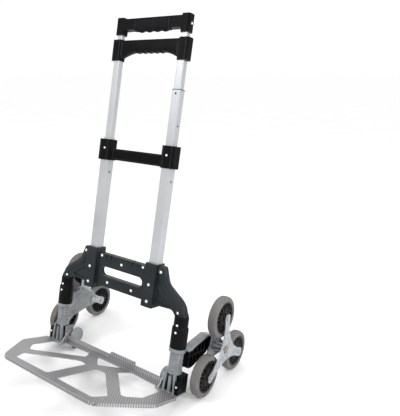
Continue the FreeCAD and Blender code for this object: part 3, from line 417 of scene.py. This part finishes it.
MIDDLE_GRIP_TOP = 0.968
MIDDLE_GRIP_HALF = 0.1
MIDDLE_GRIP_DEPTH = 0.0242
TOP_GRIP_TOP = 1.030
TOP_GRIP_HALF = 0.0605
TOP_GRIP_DEPTH = 0.0246
GRIP_STATIONS = 90


def stations(half_length):
    """Evenly spaced places along a grip from one end to the other."""
    return [half_length * (2 * step / GRIP_STATIONS - 1) for step in range(GRIP_STATIONS + 1)]


def build_grips(materials):
    """The moulded grips of both handles, with finger bumps underneath."""
    def middle(shape):
        rings = []
        for x in stations(MIDDLE_GRIP_HALF):
            towards_collar = max(0.0, (abs(x) - 0.050) / 0.050)
            low = MIDDLE_GRIP_TOP - 0.0345 - 0.0155 * towards_collar ** 1.7
            low -= finger_waves(x, 0.052, 5, 0.0022)
            rings.append(superellipse_ring(shape, x, low, MIDDLE_GRIP_TOP + 0.0004,
                                           MIDDLE_GRIP_DEPTH, 4.5))
        loft(shape, rings)

    def top(shape):
        rings = []
        for x in stations(TOP_GRIP_HALF):
            low = TOP_GRIP_TOP - 0.0356 - finger_waves(x, 0.056, 4, 0.0030)
            rings.append(superellipse_ring(shape, x, low, TOP_GRIP_TOP + 0.0006, TOP_GRIP_DEPTH, 3.4))
        loft(shape, rings)

    piece("middle_grip_moulding", middle, "middle", "handle", materials, STAND)
    made = piece("top_grip_sleeve", top, "top", "grip", materials, STAND)
    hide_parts("top_grip")


# ---------------------------------------------------------------- small fittings

SWIVEL_RINGS = (0.076, 0.087, 0.098, 0.109)
SWIVEL_FINS = 10
FIN_FOOT, FIN_TOP = 0.064, 0.121
FIN_INNER, FIN_OUTER = 0.0165, 0.0192
FIN_HALF = 0.0008
RING_HEIGHT = 0.0018

TUBE_OFFSET = 0.115
OUTER_HALF = 0.015
SECOND_HALF = 0.0127
THIRD_HALF = 0.0106
SECOND_TOP = 0.829
# size and depth of the dark discs put in the detent holes as painted shade
HOLE_SHADE_RADIUS = 0.0028
HOLE_SHADE_THICK = 0.0006
HOLE_SHADE_DEPTH = 0.0006


def build_swivel_ribs(materials):
    """Rings and upright fins round each swivel casting, moulded in one with it."""
    upright = Matrix.Rotation(math.radians(-90), 4, "Y")

    def ribs(shape):
        for height in SWIVEL_RINGS:
            over = height + RING_HEIGHT
            ring = [(height, FIN_INNER), (height, FIN_OUTER), (over, FIN_OUTER), (over, FIN_INNER)]
            lathe(shape, ring, 48)
        for number in range(SWIVEL_FINS):
            turn = Matrix.Rotation(2 * math.pi * number / SWIVEL_FINS, 4, "X")
            block(shape, (FIN_FOOT, -FIN_HALF, FIN_INNER), (FIN_TOP, FIN_HALF, FIN_OUTER), turn)

    for side, sign in SIDES.items():
        post = STAND @ Matrix.Translation((POST_OFFSET * sign, 0, 0)) @ upright
        piece(f"swivel_ribs_{side}", ribs, f"bracket_{side}", "casting", materials, post, smooth=False)


def build_hole_shade_and_bush(materials):
    """Dark discs filling the tubes' holes as painted shade, and the bush at the top of the right second tube."""
    def shade_disc(shape):
        lathe(shape, [(0, 0.0002), (0, HOLE_SHADE_RADIUS), (HOLE_SHADE_THICK, HOLE_SHADE_RADIUS),
                      (HOLE_SHADE_THICK, 0.0002)], 24)

    to_front = Matrix.Rotation(math.radians(-90), 4, "Z")
    outer_hole, side_hole, front_hole = 0.575, SECOND_TOP - 0.098, SECOND_TOP - 0.010
    outer_face = OUTER_HALF - HOLE_SHADE_DEPTH
    second_face = SECOND_HALF - HOLE_SHADE_DEPTH
    # dark discs filling the holes, standing in for the shade inside them
    shade_discs = (
        ("outer_hole_shade_left", "frame", (-TUBE_OFFSET + outer_face, 0, outer_hole), Matrix()),
        ("outer_hole_shade_right", "frame", (TUBE_OFFSET + outer_face, 0, outer_hole), Matrix()),
        ("second_hole_shade_side", "second_right", (TUBE_OFFSET + second_face, 0, side_hole), Matrix()),
        ("second_hole_shade_front", "second_right", (TUBE_OFFSET, -second_face, front_hole), to_front),
    )
    for name, body, place, turn in shade_discs:
        matrix = STAND @ Matrix.Translation(place) @ turn
        piece(name, shade_disc, body, "handle", materials, matrix, smooth=False)

    def bush(shape):
        outer, inner = SECOND_HALF + 0.0002, THIRD_HALF + 0.0002
        low, high = SECOND_TOP, SECOND_TOP + 0.0018
        for sign in (-1, 1):
            near, far = sorted((sign * inner, sign * outer))
            block(shape, (TUBE_OFFSET - outer, near, low), (TUBE_OFFSET + outer, far, high))
            block(shape, (TUBE_OFFSET + near, -inner, low), (TUBE_OFFSET + far, inner, high))

    piece("stage_bush_right", bush, "second_right", "handle", materials, STAND, smooth=False)


# ---------------------------------------------------------------- floor, light and camera

FLOOR_SIZE = 120
FLOOR_DARK, FLOOR_LIGHT = (0.93, 0.93, 0.93), (0.95, 0.95, 0.95)


def build_floor():
    mesh = bpy.data.meshes.new("floor")
    shape = bmesh.new()
    bmesh.ops.create_grid(shape, x_segments=1, y_segments=1, size=FLOOR_SIZE)
    shape.to_mesh(mesh)
    shape.free()
    floor = bpy.data.objects.new("floor", mesh)
    bpy.context.scene.collection.objects.link(floor)
    nodes = Nodes("floor_pale")
    colour = nodes.ramp(nodes.noise(2, detail=2), [(0.3, FLOOR_DARK), (0.7, FLOOR_LIGHT)])
    nodes.link(colour, nodes.shader.inputs["Base Color"])
    nodes.shader.inputs["Roughness"].default_value = 0.9
    mesh.materials.append(nodes.material)


def area_light(name, place, target, size, power):
    light = bpy.data.lights.new(name, "AREA")
    light.size = size
    light.energy = power
    made = bpy.data.objects.new(name, light)
    made.location = place
    aim = Vector(target) - Vector(place)
    made.rotation_euler = aim.to_track_quat("-Z", "Y").to_euler()
    bpy.context.scene.collection.objects.link(made)


def build_light():
    world = bpy.data.worlds.new("studio")
    world.use_nodes = True
    background = world.node_tree.nodes["Background"]
    background.inputs["Color"].default_value = (1, 1, 1, 1)
    background.inputs["Strength"].default_value = 1.05
    bpy.context.scene.world = world
    area_light("key", (-1.0, -1.9, 2.2), (0, 0, 0.5), 0.6, 19)
    area_light("side", (2.2, -0.2, 1.4), (0, 0, 0.4), 0.4, 16)
    area_light("top", (0.2, 1.2, 3.0), (0, 0, 0.4), 1.6, 16)


CAMERA_LENS = 42.5
CAMERA_SHIFT = 0.139
CAMERA_BESIDE = Vector((0.890, -1.047, 0.535))
CAMERA_DOWN = 15.75
CAMERA_TURN = 37.8


def build_camera():
    """Stands to the right of the front, beside the top of the frame shells, and looks down a little."""
    camera = bpy.data.cameras.new("camera")
    camera.lens = CAMERA_LENS
    camera.shift_x = CAMERA_SHIFT
    made = bpy.data.objects.new("camera", camera)
    shells_top = STAND @ Vector((0, -0.016, 0.336))
    made.location = shells_top + CAMERA_BESIDE
    made.rotation_euler = (math.radians(90 - CAMERA_DOWN), 0, math.radians(CAMERA_TURN))
    bpy.context.scene.collection.objects.link(made)
    bpy.context.scene.camera = made


bpy.context.scene.view_settings.view_transform = "Standard"
build_camera()
build_light()
build_floor()
MATERIALS = build_materials()
paint_nodes(MATERIALS)
build_wheels(MATERIALS)
build_grips(MATERIALS)
build_swivel_ribs(MATERIALS)
build_hole_shade_and_bush(MATERIALS)
